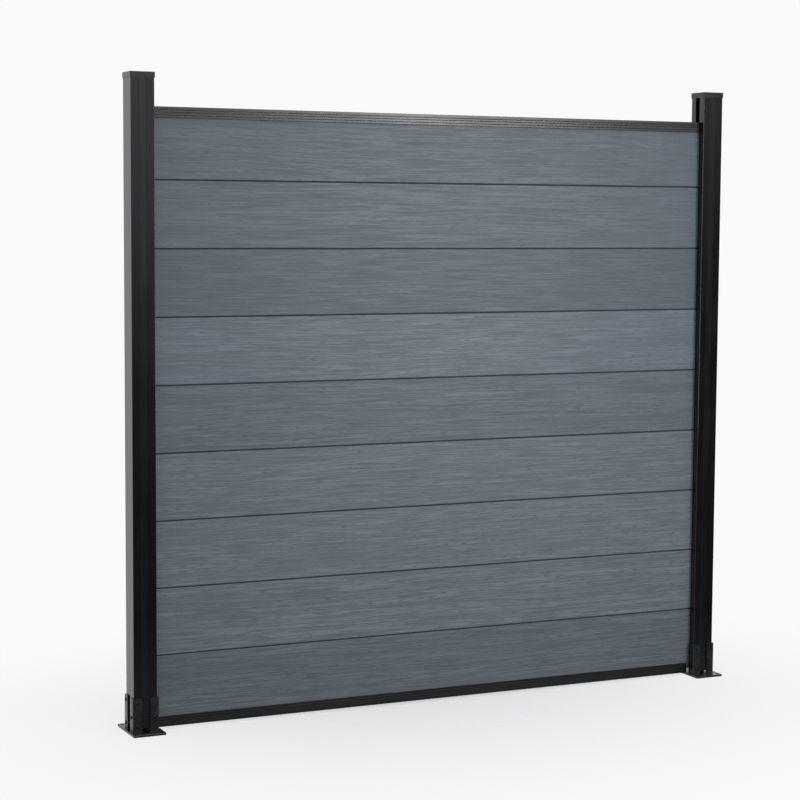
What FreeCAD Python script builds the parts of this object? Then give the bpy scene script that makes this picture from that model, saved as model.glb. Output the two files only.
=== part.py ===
import FreeCAD, Part
import math
import os

from FreeCAD import Vector

# Composite fence panel: hollow boards stacked in the slots of two aluminium posts on steel bases.
# Millimetres. X runs along the panel, Y from front to back, Z up. The origin is on the ground,
# midway between the posts and in the middle of the boards' thickness.

# Boards
board_count = 9
board_pitch = 195.0
board_thickness = 20.0
board_entry = 12.0
board_wall = 5.0
board_rib = 5.0
chambers_per_board = 6
chamber_round = 3.0
tongue_width = 8.0
tongue_height = 7.0
tongue_clearance = 0.3
shadow_gap = 4.0
shadow_gap_depth = 4.0
board_edge_bevel = 1.0

# Posts
clear_opening = 1826.0
post_width = 70.0
post_wall = 2.2
post_corner_round = 1.5
slot_play = 1.0
post_above_boards = 100.5

# Strips that close the slots not in use
strip_thickness = 2.0
strip_leg_depth = 9.0
strip_leg_thickness = 1.5
strip_fit = 0.3
strip_edge_bevel = 0.4

# Post caps
cap_top_thickness = 3.0
cap_skirt_depth = 14.0
cap_skirt_wall = 1.3
cap_fit = 0.3
cap_edge_bevel = 1.2
cap_plug_depth = 16.0
cap_plug_wall = 2.0

# Rails
rail_wall = 2.0
rail_web = 2.0
rail_play = 1.0
rail_edge_bevel = 0.6
rail_groove_width = 2.2
rail_groove_depth = 0.9
rail_groove_shares = (0.23, 0.48, 0.7)
top_rail_lip = 30.0
top_rail_lip_bevel = 1.2
top_rail_end_gap = 3.0
bottom_rail_lip = 15.0
bottom_rail_end_gap = 12.5
bottom_rail_plate_gap = 1.0

# Base plates with their four upright angles
plate_thickness = 6.0
plate_side_margin = 9.6
plate_front_margin = 39.6
plate_corner_round = 4.0
plate_edge_bevel = 0.8
anchor_hole_diameter = 11.0
anchor_edge_distance = 12.0
angle_thickness = 4.0
angle_fit = 0.4
angle_height = 97.0
angle_short_leg = 26.0
angle_board_gap = 1.4
angle_corner_round = 3.0
angle_top_round = 4.0
weld_leg = 3.0
drain_gap = 8.0

# Self-tapping screws through the angles into the post
screw_diameter = 4.8
screw_length = 14.0
screw_tip = 3.0
screw_head_diameter = 10.0
screw_head_height = 3.4
screw_head_rim = 1.0
screw_recess_length = 5.2
screw_recess_width = 1.2
screw_recess_depth = 1.6
screw_angle_clearance = 0.35
screw_post_clearance = 0.1
long_leg_screw_shares = (0.09, 0.84)
short_leg_screw_shares = (0.37,)

# Blocks that hold up the ends of the bottom rail
stop_height = 16.0
stop_entry = 16.0
stop_reach = 8.0
stop_fit = 0.3
stop_edge_bevel = 0.8

# How far a cutting shape runs past what it cuts, and how closely an edge is matched to a place
overrun = 5.0
along_tolerance_share = 0.001
touch_share = 0.999

# Heights above the ground
plate_top = plate_thickness
post_foot = plate_top + drain_gap
stop_top = plate_top + stop_height
stack_foot = stop_top + rail_web
stack_top = stack_foot + board_count * board_pitch
post_top = stack_top + post_above_boards
angle_top = plate_top + angle_height
tongue_top = stack_top + tongue_height
top_rail_top = tongue_top + rail_web

# Half sizes and places along the panel
board_half = board_thickness / 2
slot_half = board_half + slot_play
post_half = post_width / 2
slot_floor = slot_half + post_wall
post_inner_face = clear_opening / 2
post_centre = post_inner_face + post_half
board_end = post_inner_face + board_entry
angle_outer = post_half + angle_fit + angle_thickness
angle_inner = post_half + angle_fit
angle_long_leg = angle_outer - board_half - angle_board_gap
plate_half_width = angle_outer + plate_side_margin
plate_half_depth = angle_outer + plate_front_margin
rail_inner_half = board_half + rail_play
rail_half = rail_inner_half + rail_wall

origin = Vector(0, 0, 0)
upward = Vector(0, 0, 1)
quarter_turn = 90
half_turn = 180
full_turn = 360
corner_turns = [corner * quarter_turn for corner in range(4)]

os.makedirs("parts", exist_ok=True)


def box(x_low, x_high, y_low, y_high, z_low, z_high):
    corner = Vector(x_low, y_low, z_low)
    return Part.makeBox(x_high - x_low, y_high - y_low, z_high - z_low, corner)


def turned(shape, degrees):
    copy = shape.copy()
    copy.rotate(origin, upward, degrees)
    return copy


def moved(shape, x, y, z):
    copy = shape.copy()
    copy.translate(Vector(x, y, z))
    return copy


def mirrored_outline(half_outline):
    """Closes an outline whose half at positive y runs from one centre point to the other."""
    other_half = [(-y, z) for y, z in reversed(half_outline) if y > 0]
    return half_outline + other_half


def bar_along_panel(outline, half_length):
    """Straight bar along X, centred on the panel, with an outline in y and z."""
    points = [Vector(-half_length, y, z) for y, z in outline]
    face = Part.Face(Part.makePolygon(points + points[:1]))
    return face.extrude(Vector(half_length * 2, 0, 0))


def edges_along(shape, direction, wanted):
    """Straight edges of a shape along a direction whose middle point passes a test."""
    found = []
    for edge in shape.Edges:
        if len(edge.Vertexes) < 2:
            continue
        run = edge.Vertexes[1].Point - edge.Vertexes[0].Point
        if run.cross(direction).Length < run.Length * along_tolerance_share and wanted(edge.CenterOfMass):
            found.append(edge)
    return found


def export(node, shape):
    shape.exportStep("parts/" + node + ".step")


# Boards: one extruded hollow section, copied up the stack

def board():
    shoulder = board_pitch - shadow_gap
    rebate = board_half - shadow_gap_depth
    tongue_half = tongue_width / 2
    groove_half = tongue_half + tongue_clearance
    groove_depth = tongue_height + tongue_clearance
    tongue_end = board_pitch + tongue_height
    section = mirrored_outline([
        (0, groove_depth),
        (groove_half, groove_depth),
        (groove_half, 0),
        (board_half - board_edge_bevel, 0),
        (board_half, board_edge_bevel),
        (board_half, shoulder - board_edge_bevel),
        (board_half - board_edge_bevel, shoulder),
        (rebate, shoulder),
        (rebate, board_pitch),
        (tongue_half, board_pitch),
        (tongue_half, tongue_end - board_edge_bevel),
        (tongue_half - board_edge_bevel, tongue_end),
        (0, tongue_end),
    ])
    solid = bar_along_panel(section, board_end)
    lowest = groove_depth + board_wall
    highest = shoulder - board_wall
    chamber_half = board_half - board_wall
    chamber_step = (highest - lowest + board_rib) / chambers_per_board
    chamber_height = chamber_step - board_rib
    reach = board_end + overrun
    chamber = box(-reach, reach, -chamber_half, chamber_half, 0, chamber_height)
    chamber = chamber.makeFillet(chamber_round, edges_along(chamber, Vector(1, 0, 0), lambda at: True))
    chambers = [moved(chamber, 0, 0, lowest + k * chamber_step) for k in range(chambers_per_board)]
    return solid.cut(chambers)


one_board = board()
for k in range(board_count):
    export("board_%d" % (k + 1), moved(one_board, 0, 0, stack_foot + k * board_pitch))


# Rails: channel bars with fine grooves along their outer faces

def grooved_face(free_edge, far_edge):
    """Points up or down a rail's outer face, with its grooves counted from the free edge of the lip."""
    height = far_edge - free_edge
    half_width = math.copysign(rail_groove_width / 2, height)
    points = []
    for share in rail_groove_shares:
        middle = free_edge + share * height
        points.append((rail_half, middle - half_width))
        points.append((rail_half - rail_groove_depth, middle))
        points.append((rail_half, middle + half_width))
    return points


def top_rail():
    lip_foot = tongue_top - top_rail_lip
    section = mirrored_outline([
        (0, tongue_top),
        (rail_inner_half, tongue_top),
        (rail_inner_half, lip_foot),
        (rail_half - top_rail_lip_bevel, lip_foot),
        (rail_half, lip_foot + top_rail_lip_bevel),
    ] + grooved_face(lip_foot, top_rail_top) + [
        (rail_half, top_rail_top - rail_edge_bevel),
        (rail_half - rail_edge_bevel, top_rail_top),
        (0, top_rail_top),
    ])
    return bar_along_panel(section, post_inner_face - top_rail_end_gap)


def bottom_rail():
    leg_foot = plate_top + bottom_rail_plate_gap
    lip_head = stack_foot + bottom_rail_lip
    rib_half = tongue_width / 2
    rib_head = stack_foot + tongue_height
    section = mirrored_outline([
        (0, rib_head),
        (rib_half, rib_head),
        (rib_half, stack_foot),
        (rail_inner_half, stack_foot),
        (rail_inner_half, lip_head),
        (rail_half - rail_edge_bevel, lip_head),
        (rail_half, lip_head - rail_edge_bevel),
    ] + grooved_face(lip_head, leg_foot) + [
        (rail_half, leg_foot),
        (rail_inner_half, leg_foot),
        (rail_inner_half, stop_top),
        (0, stop_top),
    ])
    channel = bar_along_panel(section, post_inner_face - bottom_rail_end_gap)
    tail_section = mirrored_outline([
        (0, rib_head),
        (rib_half, rib_head),
        (rib_half, stack_foot),
        (board_half, stack_foot),
        (board_half, stop_top),
        (0, stop_top),
    ])
    tails = bar_along_panel(tail_section, board_end)
    return channel.fuse(tails).removeSplitter()


export("top_rail", top_rail())
export("bottom_rail", bottom_rail())


# Screws: pan head with a cross recess, driven along +Y with the head's seat at y = 0

def screw():
    head_radius = screw_head_diameter / 2
    radius = screw_diameter / 2
    dome_rise = screw_head_height - screw_head_rim
    dome_radius = (head_radius ** 2 + dome_rise ** 2) / (2 * dome_rise)
    dome_middle = dome_radius - math.sqrt(dome_radius ** 2 - (head_radius / 2) ** 2) - screw_head_height
    crown = Vector(0, -screw_head_height, 0)
    rim = Vector(head_radius, -screw_head_rim, 0)
    seat = Vector(head_radius, 0, 0)
    neck = Vector(radius, 0, 0)
    shoulder = Vector(radius, screw_length - screw_tip, 0)
    point = Vector(0, screw_length, 0)
    dome = Part.Arc(crown, Vector(head_radius / 2, dome_middle, 0), rim).toShape()
    corners = [rim, seat, neck, shoulder, point, crown]
    sides = [Part.LineSegment(a, b).toShape() for a, b in zip(corners, corners[1:])]
    half_face = Part.Face(Part.Wire([dome] + sides))
    body = half_face.revolve(origin, Vector(0, 1, 0), full_turn)
    arm = screw_recess_length / 2
    slit = screw_recess_width / 2
    recess_floor = screw_recess_depth - screw_head_height
    above = -screw_head_height - overrun
    across = box(-arm, arm, above, recess_floor, -slit, slit)
    along = box(-slit, slit, above, recess_floor, -arm, arm)
    return body.cut([across, along])


def screw_places():
    """Place and turn of each screw about the post's axis: two on each long leg, one on each short leg."""
    grip = angle_top - post_foot
    along_long_leg = angle_long_leg / 2 - angle_outer
    along_short_leg = angle_outer - angle_short_leg / 2
    places = []
    for turn in corner_turns:
        for share in long_leg_screw_shares:
            places.append((along_long_leg, post_foot + share * grip, turn))
        for share in short_leg_screw_shares:
            places.append((along_short_leg, post_foot + share * grip, turn))
    return places


def at_screw_places(shape):
    return [turned(moved(shape, x, -angle_outer, z), turn) for x, z, turn in screw_places()]


def screw_hole(clearance):
    radius = screw_diameter / 2 + clearance
    start = Vector(0, -overrun, 0)
    return Part.makeCylinder(radius, screw_length + overrun * 2, start, Vector(0, 1, 0))


# Posts: four corner tubes round a core, with a slot between the tubes on each face

def post():
    outside = box(-post_half, post_half, -post_half, post_half, post_foot, post_top)
    outside = outside.makeFillet(post_corner_round, edges_along(outside, upward, lambda at: True))
    low = post_foot - overrun
    high = post_top + overrun
    slot = box(-slot_half, slot_half, -post_half - overrun, -slot_floor, low, high)
    tube_far = post_half - post_wall
    tube = box(slot_floor, tube_far, slot_floor, tube_far, low, high)
    core = box(-slot_half, slot_half, -slot_half, slot_half, low, high)
    cuts = [core]
    for turn in corner_turns:
        cuts.append(turned(slot, turn))
        cuts.append(turned(tube, turn))
    return outside.cut(cuts).cut(at_screw_places(screw_hole(screw_post_clearance)))


# Slot strips: a face flush with the post and two legs down the slot's sides

def strip():
    half = slot_half - strip_fit
    face = box(-half, half, -post_half, strip_thickness - post_half, post_foot, post_top)
    front_edges = edges_along(face, upward, lambda at: at.y < -post_half * touch_share)
    face = face.makeChamfer(strip_edge_bevel, front_edges)
    leg_foot = strip_leg_depth - post_half
    leg = box(half - strip_leg_thickness, half, strip_thickness - post_half, leg_foot, post_foot, post_top)
    return face.fuse([leg, leg.mirror(origin, Vector(1, 0, 0))]).removeSplitter()


# Caps: a shallow lid with hollow plugs that go into the post's corner tubes

def cap():
    inside = post_half + cap_fit
    outside = inside + cap_skirt_wall
    skirt_foot = post_top - cap_skirt_depth
    cap_top = post_top + cap_top_thickness
    lid = box(-outside, outside, -outside, outside, skirt_foot, cap_top)
    lid = lid.makeFillet(post_corner_round, edges_along(lid, upward, lambda at: True))
    top_face = max(lid.Faces, key=lambda face: face.CenterOfMass.z)
    lid = lid.makeChamfer(cap_edge_bevel, top_face.Edges)
    lid = lid.cut(box(-inside, inside, -inside, inside, skirt_foot - overrun, post_top))
    near = slot_floor + cap_fit
    far = post_half - post_wall - cap_fit
    plug_foot = post_top - cap_plug_depth
    plug = box(near, far, near, far, plug_foot, post_top)
    bore_near = near + cap_plug_wall
    bore_far = far - cap_plug_wall
    plug = plug.cut(box(bore_near, bore_far, bore_near, bore_far, plug_foot - overrun, post_top))
    return lid.fuse([turned(plug, turn) for turn in corner_turns]).removeSplitter()


# Base plates

def base_plate():
    plate = box(-plate_half_width, plate_half_width, -plate_half_depth, plate_half_depth, 0, plate_top)
    plate = plate.makeFillet(plate_corner_round, edges_along(plate, upward, lambda at: True))
    top_face = max(plate.Faces, key=lambda face: face.CenterOfMass.z)
    plate = plate.makeChamfer(plate_edge_bevel, top_face.Edges)
    hole_x = plate_half_width - anchor_edge_distance
    hole_y = plate_half_depth - anchor_edge_distance
    holes = []
    for x in (-hole_x, hole_x):
        for y in (-hole_y, hole_y):
            start = Vector(x, y, -overrun)
            holes.append(Part.makeCylinder(anchor_hole_diameter / 2, plate_thickness + overrun * 2, start))
    return plate.cut(holes)


# Angles: the front left one, with its long leg on the front and its weld inside, under the post's foot

def base_angle():
    long_end = angle_long_leg - angle_outer
    short_end = angle_short_leg - angle_outer
    long_leg = box(-angle_outer, long_end, -angle_outer, -angle_inner, plate_top, angle_top)
    short_leg = box(-angle_outer, -angle_inner, -angle_outer, short_end, plate_top, angle_top)
    long_top = edges_along(long_leg, Vector(0, 1, 0), lambda at: is_top_end(at.x, long_end, at.z))
    long_leg = long_leg.makeFillet(angle_top_round, long_top)
    short_top = edges_along(short_leg, Vector(1, 0, 0), lambda at: is_top_end(at.y, short_end, at.z))
    short_leg = short_leg.makeFillet(angle_top_round, short_top)
    angle = long_leg.fuse(short_leg).removeSplitter()
    corner = edges_along(angle, upward, lambda at: at.x + at.y < -angle_outer * 2 * touch_share)
    angle = angle.makeFillet(angle_corner_round, corner)
    long_weld = weld(-angle_inner, long_end)
    short_weld = turned(weld(-short_end, angle_inner), -quarter_turn)
    return angle.fuse([long_weld, short_weld]).removeSplitter()


def is_top_end(place, end, height):
    return abs(place - end) < angle_thickness / 2 and height > angle_top * touch_share


def weld(x_start, x_end):
    """Bead along the inner foot of a leg on the front, as wide as it is high."""
    foot = Vector(x_start, -angle_inner, plate_top)
    toe = foot + Vector(0, weld_leg, 0)
    head = foot + Vector(0, 0, weld_leg)
    face = Part.Face(Part.makePolygon([foot, toe, head, foot]))
    return face.extrude(Vector(x_end - x_start, 0, 0))


# Blocks on the base plates that reach into the inner slots under the bottom rail's tails

def board_stop():
    half = slot_half - stop_fit
    inner = -post_half - stop_reach
    block = box(inner, stop_entry - post_half, -half, half, plate_top, stop_top)
    top_face = max(block.Faces, key=lambda face: face.CenterOfMass.z)
    return block.makeChamfer(stop_edge_bevel, top_face.Edges)


# The two posts with what stands on, in and round them; each stop reaches out towards the boards

one_screw = screw()
screws = at_screw_places(one_screw)
one_angle = base_angle()
angle_holes = at_screw_places(screw_hole(screw_angle_clearance))
angles = [turned(one_angle, turn).cut(angle_holes) for turn in corner_turns]
one_post = post()
one_strip = strip()
one_cap = cap()
one_plate = base_plate()
one_stop = board_stop()

for side, place, outer_turn in (("left", -post_centre, -quarter_turn), ("right", post_centre, quarter_turn)):
    export(side + "_post", moved(one_post, place, 0, 0))
    export(side + "_post_cap", moved(one_cap, place, 0, 0))
    for face, turn in (("front", 0), ("rear", half_turn), ("outer", outer_turn)):
        export(side + "_" + face + "_strip", moved(turned(one_strip, turn), place, 0, 0))
    export(side + "_base_plate", moved(one_plate, place, 0, 0))
    for number, angle in enumerate(angles, start=1):
        export("%s_base_angle_%d" % (side, number), moved(angle, place, 0, 0))
    export(side + "_base_screws", moved(Part.makeCompound(screws), place, 0, 0))
    stop_turn = half_turn if side == "left" else 0
    export(side + "_board_stop", moved(turned(one_stop, stop_turn), place, 0, 0))
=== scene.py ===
import math

import bpy
from mathutils import Matrix, Vector


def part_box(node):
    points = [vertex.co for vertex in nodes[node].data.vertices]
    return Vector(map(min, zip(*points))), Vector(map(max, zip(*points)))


# Composite fence panel. Metres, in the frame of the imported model: X along the panel, Y to the back, Z up.
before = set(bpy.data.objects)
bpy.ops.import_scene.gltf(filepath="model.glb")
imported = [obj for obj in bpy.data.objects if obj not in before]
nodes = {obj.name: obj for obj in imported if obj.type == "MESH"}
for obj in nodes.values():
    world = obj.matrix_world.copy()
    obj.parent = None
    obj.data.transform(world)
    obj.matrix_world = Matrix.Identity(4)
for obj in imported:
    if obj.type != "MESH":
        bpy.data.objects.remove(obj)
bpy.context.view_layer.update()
sides = ("left", "right")


# Bases: a 6 mm steel plate with four upright angles welded to it round the foot of each post.
# The welded base is coated black after welding, so the thick coat runs over plate, beads and edges alike.

def new_finish(name):
    """A new material with what every finish needs: its tree, its shader and the place on the piece."""
    material = bpy.data.materials.new(name)
    material.use_nodes = True
    tree = material.node_tree
    place = tree.nodes.new("ShaderNodeTexCoord").outputs["Object"]
    return material, tree, tree.nodes["Principled BSDF"], place


def noise(tree, place, size, detail=2.0, seed=0.0):
    """Cloudy values whose spots measure about the given size along x, y and z."""
    mapping = tree.nodes.new("ShaderNodeMapping")
    mapping.inputs["Location"].default_value = (seed, seed, seed)
    mapping.inputs["Scale"].default_value = [1 / length for length in size]
    texture = tree.nodes.new("ShaderNodeTexNoise")
    texture.inputs["Scale"].default_value = 1.0
    texture.inputs["Detail"].default_value = detail
    tree.links.new(place, mapping.inputs["Vector"])
    tree.links.new(mapping.outputs["Vector"], texture.inputs["Vector"])
    return texture.outputs["Fac"]


def spread(tree, value, low, high, low_result=0.0, high_result=1.0):
    """Values from low to high, eased into the range between the two results."""
    node = tree.nodes.new("ShaderNodeMapRange")
    node.interpolation_type = "SMOOTHSTEP"
    node.inputs["From Min"].default_value = low
    node.inputs["From Max"].default_value = high
    node.inputs["To Min"].default_value = low_result
    node.inputs["To Max"].default_value = high_result
    tree.links.new(value, node.inputs["Value"])
    return node.outputs["Result"]


def between(tree, share, first, second):
    """A colour between two others, each one a fixed colour or a socket."""
    node = tree.nodes.new("ShaderNodeMix")
    node.data_type = "RGBA"
    tree.links.new(share, node.inputs["Factor"])
    for socket, colour in ((node.inputs[6], first), (node.inputs[7], second)):
        if isinstance(colour, bpy.types.NodeSocket):
            tree.links.new(colour, socket)
        else:
            socket.default_value = (*colour, 1.0)
    return node.outputs[2]


def relief(tree, shader, height, depth):
    """Raises the surface by up to depth where the values are high."""
    node = tree.nodes.new("ShaderNodeBump")
    node.inputs["Distance"].default_value = depth
    tree.links.new(height, node.inputs["Height"])
    tree.links.new(node.outputs["Normal"], shader.inputs["Normal"])


def coat_finish(name, dark, light, grain, depth, roughness, ior):
    """A coat or plain surface: two close tones in soft clouds, and a fine relief of the grain's size."""
    grains_in_cloud = 25
    material, tree, shader, place = new_finish(name)
    clouds = noise(tree, place, [length * grains_in_cloud for length in grain], detail=3.0)
    peel = noise(tree, place, grain, seed=3.0)
    tone = between(tree, spread(tree, clouds, 0.35, 0.65), dark, light)
    tree.links.new(tone, shader.inputs["Base Color"])
    tree.links.new(spread(tree, clouds, 0.3, 0.7, *roughness), shader.inputs["Roughness"])
    shader.inputs["IOR"].default_value = ior
    relief(tree, shader, peel, depth)
    return material


def dress(names, material):
    """Gives one finish to each of the named pieces."""
    for name in names:
        nodes[name].data.materials[0] = material


base_coat = coat_finish("base_coat", dark=(0.004, 0.004, 0.0043), light=(0.007, 0.007, 0.0075),
                        grain=(0.0012, 0.0012, 0.0012), depth=0.00004, roughness=(0.24, 0.33), ior=1.51)
for side in sides:
    angles = ["%s_base_angle_%d" % (side, corner) for corner in range(1, 5)]
    dress([side + "_base_plate"] + angles, base_coat)


# Base screws: pan-head self-tapping screws with a cross recess, driven through the angles into the posts.
# Hardened steel with a thin black phosphate coat, duller than the base round them.

screw_coat = coat_finish("screw_coat", dark=(0.003, 0.003, 0.003), light=(0.005, 0.005, 0.005),
                         grain=(0.0006, 0.0006, 0.0006), depth=0.00001, roughness=(0.46, 0.56), ior=1.36)
dress([side + "_base_screws" for side in sides], screw_coat)


# Board stops: blocks under the ends of the bottom rail, standing on the base plates in the posts' slots.
# Natural white nylon, sawn from bar, so the faces are dull and slightly scored.

stop_nylon = coat_finish("stop_nylon", dark=(0.62, 0.61, 0.57), light=(0.74, 0.73, 0.69),
                         grain=(0.0015, 0.004, 0.0015), depth=0.00008, roughness=(0.42, 0.55), ior=1.5)
dress([side + "_board_stop" for side in sides], stop_nylon)


# Posts: extruded aluminium, 70 mm square, with a slot down the middle of each face.
# Powder-coated satin black; the press leaves faint lines up the post that show through the coat.

post_coat = coat_finish("post_coat", dark=(0.0035, 0.0035, 0.0038), light=(0.005, 0.005, 0.0054),
                        grain=(0.0012, 0.0012, 0.006), depth=0.00003, roughness=(0.12, 0.15), ior=1.50)
dress([side + "_post" for side in sides], post_coat)


# Slot strips: snap-in covers flush with the post, which close the slots that hold no boards.
# The same extruded aluminium as the posts, with a black coat from another batch.

strip_coat = coat_finish("strip_coat", dark=(0.004, 0.004, 0.0043), light=(0.006, 0.006, 0.0064),
                         grain=(0.0012, 0.0012, 0.006), depth=0.00003, roughness=(0.14, 0.17), ior=1.53)
dress(["%s_%s_strip" % (side, face) for side in sides for face in ("front", "rear", "outer")], strip_coat)


# Rails: extruded aluminium channels along the foot and head of the boards, with three fine grooves each side.
# Black coat with the press lines running along the rail; the bottom rail's is the smoother one.

rail_coats = (("top_rail", "rail_coat", (0.27, 0.32), 1.58),
              ("bottom_rail", "bottom_rail_coat", (0.17, 0.21), 1.52))
for rail, coat, roughness, ior in rail_coats:
    rail_coat = coat_finish(coat, dark=(0.004, 0.004, 0.0043), light=(0.006, 0.006, 0.0064),
                            grain=(0.008, 0.0012, 0.0012), depth=0.00004, roughness=roughness, ior=ior)
    dress([rail], rail_coat)


# Boards: hollow extruded planks of wood fibre and plastic, nine in a stack with tongue and groove.
# A slate-grey skin on both faces is embossed with combed wood grain along the board. The edges, tongue and
# groove take a darker core colour, which also paints shade into the joints between the boards. Each board has
# its own tone, blue share and grain contrast, the blue share rising and the grain weakening towards the top;
# the tones also carry painted shade, darker on the bottom board and the top three to even out how the lamps
# light them.

skin_light = (0.116, 0.149, 0.178)
# Dark core colour, which also paints the shade into the joints between the boards.
core_and_joint_shade = (0.038, 0.053, 0.068)
# Painted shade in the tones: the bottom board and the top three are darker to even out how the lamps light
# them.
board_tones_and_shade = (0.93, 1.17, 1.17, 1.12, 0.89, 1.03, 0.70, 0.79, 0.80)
board_blues = (0.93, 0.93, 0.94, 0.95, 1.01, 1.02, 1.08, 1.06, 1.05)
board_grains = (1.30, 1.28, 1.22, 1.15, 1.06, 1.00, 0.82, 0.83, 0.85)
skin_depth = 0.0006
skin_edge = 0.0004
sway_size = (0.7, 1.0, 0.12)
sway_height = 0.007
streak_size = (0.6, 0.3, 0.012)
streak_share = 0.82
comb_size = (0.15, 0.3, 0.0031)
comb_share = 0.68
dash_size = (0.034, 0.3, 0.0030)
dash_share = 0.62
emboss_depth = 0.00012


def board_finish(number, tone, blue, grain):
    """Skin and core of one board, with streaks, combed lines and short pressed dashes in its own places."""
    material, tree, shader, place = new_finish("board_composite_%d" % number)
    seed = number * 7.31

    swells = noise(tree, place, sway_size, detail=1.0, seed=seed)
    sway = tree.nodes.new("ShaderNodeCombineXYZ")
    tree.links.new(spread(tree, swells, 0.2, 0.8, -sway_height, sway_height), sway.inputs["Z"])
    swayed = tree.nodes.new("ShaderNodeVectorMath")
    tree.links.new(place, swayed.inputs[0])
    tree.links.new(sway.outputs["Vector"], swayed.inputs[1])
    along = swayed.outputs["Vector"]
    streaks = noise(tree, along, streak_size, seed=seed)
    comb = noise(tree, along, comb_size, seed=seed + 2.0)
    dashes = noise(tree, along, dash_size, detail=1.0, seed=seed + 4.0)

    red, green, cold = skin_light
    light = [tone * red, tone * green * (1.0 + blue) / 2.0, tone * cold * blue]
    streak, line, dash = ([value * (1.0 - grain * (1.0 - share)) for value in light]
                          for share in (streak_share, comb_share, dash_share))
    streaked = between(tree, spread(tree, streaks, 0.3, 0.7), streak, light)
    combed = between(tree, spread(tree, comb, 0.38, 0.58), line, streaked)
    dashed = between(tree, spread(tree, dashes, 0.30, 0.42), dash, combed)

    half_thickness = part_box("board_%d" % number)[1][1]
    apart = tree.nodes.new("ShaderNodeSeparateXYZ")
    tree.links.new(place, apart.inputs["Vector"])
    from_middle = tree.nodes.new("ShaderNodeMath")
    from_middle.operation = "ABSOLUTE"
    tree.links.new(apart.outputs["Y"], from_middle.inputs[0])
    # Painted shade: faces deeper than the skin, on the edges and in the joints between boards, take the dark
    # core colour.
    skin_from = half_thickness - skin_depth
    on_skin = spread(tree, from_middle.outputs["Value"], skin_from - skin_edge, skin_from)

    tree.links.new(between(tree, on_skin, core_and_joint_shade, dashed), shader.inputs["Base Color"])
    tree.links.new(spread(tree, comb, 0.35, 0.65, 0.49, 0.41), shader.inputs["Roughness"])
    tree.links.new(spread(tree, on_skin, 0.0, 1.0, 0.1, 0.5), shader.inputs["Specular IOR Level"])
    shader.inputs["IOR"].default_value = 1.5
    heights = tree.nodes.new("ShaderNodeMath")
    heights.operation = "MULTIPLY"
    tree.links.new(spread(tree, comb, 0.36, 0.6, 0.6, 1.0), heights.inputs[0])
    tree.links.new(spread(tree, dashes, 0.3, 0.42, 0.2, 1.0), heights.inputs[1])
    relief(tree, shader, heights.outputs["Value"], emboss_depth)
    return material


for number, (tone, blue, grain) in enumerate(zip(board_tones_and_shade, board_blues, board_grains), start=1):
    dress(["board_%d" % number], board_finish(number, tone, blue, grain))


# Post caps: shallow lids pressed over the tops of the posts, with plugs that grip inside the corner tubes.
# Moulded black plastic with a fine grain, a little duller than the coat below.

cap_plastic = coat_finish("cap_plastic", dark=(0.006, 0.006, 0.006), light=(0.009, 0.009, 0.009),
                          grain=(0.0008, 0.0008, 0.0008), depth=0.00003, roughness=(0.24, 0.30), ior=1.48)
dress([side + "_post_cap" for side in sides], cap_plastic)


# Floor: a sheet of pale grey paper just under the bases, which keeps the fence's soft shadow.
# It is densest under the middle of the fence and clears outwards into the white of the room, so its grey
# also paints shade round the foot of the fence on top of the lamps' own shadow.

floor_half = 6.0
floor_level = -0.0005
clear_reach = (2.08, 1.56)
clear_shares = (0.58, 1.0)
floor_corners = [(-floor_half, -floor_half, floor_level), (floor_half, -floor_half, floor_level),
                 (floor_half, floor_half, floor_level), (-floor_half, floor_half, floor_level)]
floor_mesh = bpy.data.meshes.new("floor")
floor_mesh.from_pydata(floor_corners, [], [(0, 1, 2, 3)])
floor = bpy.data.objects.new("floor", floor_mesh)
bpy.context.scene.collection.objects.link(floor)

floor_shade_sheet, floor_tree, floor_shader, floor_place = new_finish("floor_shade_sheet")
mottle = noise(floor_tree, floor_place, (0.5, 0.5, 0.5))
paper_tone = between(floor_tree, mottle, (0.53, 0.54, 0.57), (0.56, 0.57, 0.60))
floor_tree.links.new(paper_tone, floor_shader.inputs["Base Color"])
floor_shader.inputs["Roughness"].default_value = 0.9
floor_shader.inputs["Specular IOR Level"].default_value = 0.1
spot = floor_tree.nodes.new("ShaderNodeMapping")
spot.inputs["Scale"].default_value = (1 / clear_reach[0], 1 / clear_reach[1], 0.0)
reach = floor_tree.nodes.new("ShaderNodeVectorMath")
reach.operation = "LENGTH"
floor_tree.links.new(floor_place, spot.inputs["Vector"])
floor_tree.links.new(spot.outputs["Vector"], reach.inputs[0])
clear = floor_tree.nodes.new("ShaderNodeBsdfTransparent")
faded = floor_tree.nodes.new("ShaderNodeMixShader")
# Painted shade: the grey sheet is most opaque under the middle of the fence and clears to white further out.
clearness = spread(floor_tree, reach.outputs["Value"], 0.0, 1.0, *clear_shares)
floor_tree.links.new(clearness, faded.inputs["Fac"])
floor_tree.links.new(floor_shader.outputs["BSDF"], faded.inputs[1])
floor_tree.links.new(clear.outputs["BSDF"], faded.inputs[2])
floor_tree.links.new(faded.outputs["Shader"], floor_tree.nodes["Material Output"].inputs["Surface"])
floor_mesh.materials.append(floor_shade_sheet)


# Room: white above and behind the fence, dim in front below eye level. The camera sees plain white all round,
# and so do rays that pass through a piece or are mirrored towards the back.

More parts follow.
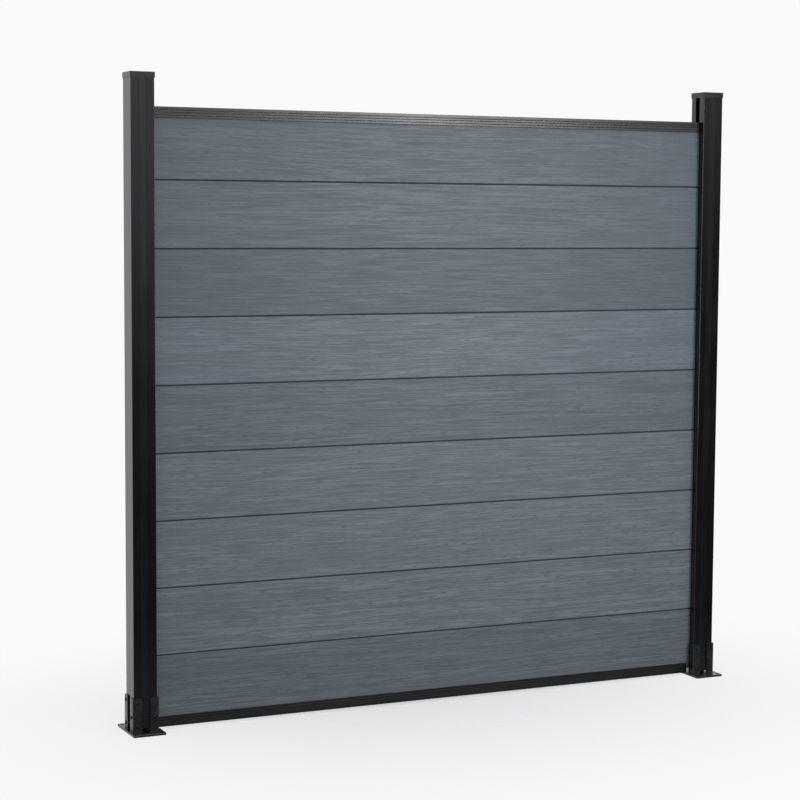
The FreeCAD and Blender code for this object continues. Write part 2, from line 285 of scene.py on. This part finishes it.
white = (0.955, 0.955, 0.955)
front_dim = (0.05, 0.05, 0.052)
front_sky = (0.90, 0.92, 0.95)
front_slope = (-0.29, 0.0, 1.0)
world = bpy.data.worlds.new("white_room")
bpy.context.scene.world = world
world.use_nodes = True
room = world.node_tree
direction = room.nodes.new("ShaderNodeTexCoord").outputs["Generated"]
parts = room.nodes.new("ShaderNodeSeparateXYZ")
room.links.new(direction, parts.inputs["Vector"])
behind = spread(room, parts.outputs["Y"], -0.35, 0.25)
height = room.nodes.new("ShaderNodeVectorMath")
height.operation = "DOT_PRODUCT"
height.inputs[1].default_value = front_slope
room.links.new(direction, height.inputs[0])
above = spread(room, height.outputs["Value"], -0.19, -0.01)
front = between(room, above, front_dim, front_sky)
studio = room.nodes["Background"]
room.links.new(between(room, behind, front, white), studio.inputs["Color"])
plain = room.nodes.new("ShaderNodeBackground")
plain.inputs["Color"].default_value = (*white, 1.0)
path = room.nodes.new("ShaderNodeLightPath")
straight = room.nodes.new("ShaderNodeMath")
straight.operation = "MAXIMUM"
room.links.new(path.outputs["Is Camera Ray"], straight.inputs[0])
room.links.new(path.outputs["Is Transmission Ray"], straight.inputs[1])
mirrored = room.nodes.new("ShaderNodeMath")
mirrored.operation = "MULTIPLY"
room.links.new(path.outputs["Is Glossy Ray"], mirrored.inputs[0])
room.links.new(behind, mirrored.inputs[1])
seen = room.nodes.new("ShaderNodeMath")
seen.operation = "MAXIMUM"
room.links.new(straight.outputs["Value"], seen.inputs[0])
room.links.new(mirrored.outputs["Value"], seen.inputs[1])
shown = room.nodes.new("ShaderNodeMixShader")
room.links.new(seen.outputs["Value"], shown.inputs["Fac"])
room.links.new(studio.outputs["Background"], shown.inputs[1])
room.links.new(plain.outputs["Background"], shown.inputs[2])
room.links.new(shown.outputs["Shader"], room.nodes["World Output"].inputs["Surface"])


# Lights: a tall soft box to the right in front, which the fence mirrors towards the camera, and a wide one
# overhead. Both are aimed at the middle of the boards, and the camera doesn't see them.

middle = Vector((0.0, 0.0, 1.0))


def soft_box(name, place, width, height, power):
    """A lamp behind a lit rectangle, turned towards the middle of the boards."""
    lamp = bpy.data.lights.new(name, "AREA")
    lamp.shape = "RECTANGLE"
    lamp.size = width
    lamp.size_y = height
    lamp.energy = power
    box = bpy.data.objects.new(name, lamp)
    bpy.context.scene.collection.objects.link(box)
    box.location = place
    box.rotation_euler = (middle - Vector(place)).to_track_quat("-Z", "Y").to_euler()
    box.visible_camera = False


soft_box("front_soft_box", place=(1.95, -4.13, 1.45), width=1.0, height=2.2, power=74.0)
soft_box("overhead_soft_box", place=(0.2, -0.4, 4.2), width=3.2, height=2.0, power=58.0)


# Camera: at eye level, to the left in front, with a long lens.
# Its place, turn and lens were fitted to the joints of the boards and the edges of the posts.

eye = Vector((-2.7511, -5.5860, 1.4799))
yaw, pitch, roll = (math.radians(angle) for angle in (25.130, 5.079, 0.353))
level = Vector((math.sin(yaw), math.cos(yaw), 0.0))
right = Vector((math.cos(yaw), -math.sin(yaw), 0.0))
upright = Vector((0.0, 0.0, 1.0))
look = level * math.cos(pitch) - upright * math.sin(pitch)
raised = upright * math.cos(pitch) + level * math.sin(pitch)
across = right * math.cos(roll) + raised * math.sin(roll)
top = raised * math.cos(roll) - right * math.sin(roll)
view = bpy.data.cameras.new("camera")
view.lens = 92.40
view.sensor_width = 36.0
view.clip_end = 60.0
camera = bpy.data.objects.new("camera", view)
bpy.context.scene.collection.objects.link(camera)
camera.matrix_world = Matrix((across, top, -look)).transposed().to_4x4()
camera.location = eye
bpy.context.scene.camera = camera

bpy.context.scene.view_settings.view_transform = "Standard"
